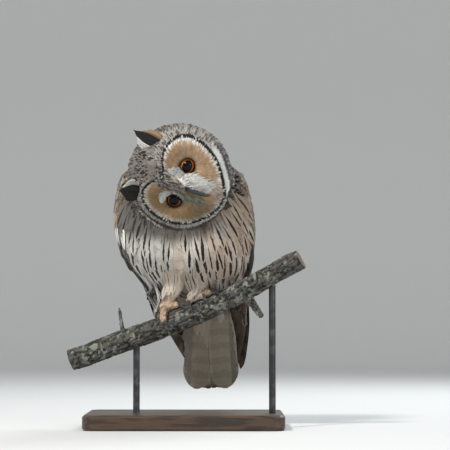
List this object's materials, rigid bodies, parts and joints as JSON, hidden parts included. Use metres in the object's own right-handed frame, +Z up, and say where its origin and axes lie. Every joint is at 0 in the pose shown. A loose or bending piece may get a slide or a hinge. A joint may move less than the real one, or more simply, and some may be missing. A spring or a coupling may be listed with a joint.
{
  "type": "long-eared owl",
  "caption": "Life-size still model of a long-eared owl with its head turned on its side, gripping a cut branch held by rods on a flat base.",
  "frame": {"origin": "middle of the base's flat underside", "axes": "+Z up; the owl faces -Y; +X is the owl's left, the side the branch rises to"},
  "size_m": [0.2867, 0.1654, 0.3596],
  "materials": {
    "head_plumage": "fine grey and buff plumage with dark streaks, peppering and a tan facial disc",
    "body_plumage": "pale buff plumage with bold dark brown shaft streaks and fine cross marks",
    "wing_plumage": "mottled grey-brown and ochre plumage with dark streaks, pale spots and barred primaries",
    "tail_plumage": "grey-buff tail feathers with narrow dark bars",
    "leg_plumage": "short, soft peach-buff feathering",
    "tuft_plumage": "blackish plume with a white inner and a buff outer edge",
    "eye": "wet, clear cornea over an orange iris and a black pupil",
    "bill": "blackish horn with a soft shine",
    "claw": "dark blue-grey horn, paler at the root",
    "bark": "rough dark grey bark with pale green lichen",
    "stand_wood": "dark oiled hardwood, satin",
    "stand_steel": "darkened steel rod, satin"
  },
  "bodies": {
    "root": {"bill_lower": "bill", "bill_upper": "bill", "claw_left_inner": "claw", "claw_left_middle": "claw", "claw_left_outer": "claw", "claw_left_rear": "claw", "claw_right_inner": "claw", "claw_right_middle": "claw", "claw_right_outer": "claw", "claw_right_rear": "claw", "ear_tuft_left": "tuft_plumage", "ear_tuft_right": "tuft_plumage", "eye_left": "eye", "eye_right": "eye", "foot_left": "leg_plumage", "foot_right": "leg_plumage", "head": "head_plumage", "leg_left": "leg_plumage", "leg_right": "leg_plumage", "neck": "head_plumage", "perch": "bark", "stand_base": "stand_wood", "stand_rod_left": "stand_steel", "stand_rod_right": "stand_steel", "tail": "tail_plumage", "trunk": "body_plumage", "wing_left": "wing_plumage", "wing_right": "wing_plumage"}
  },
  "joints": []
}
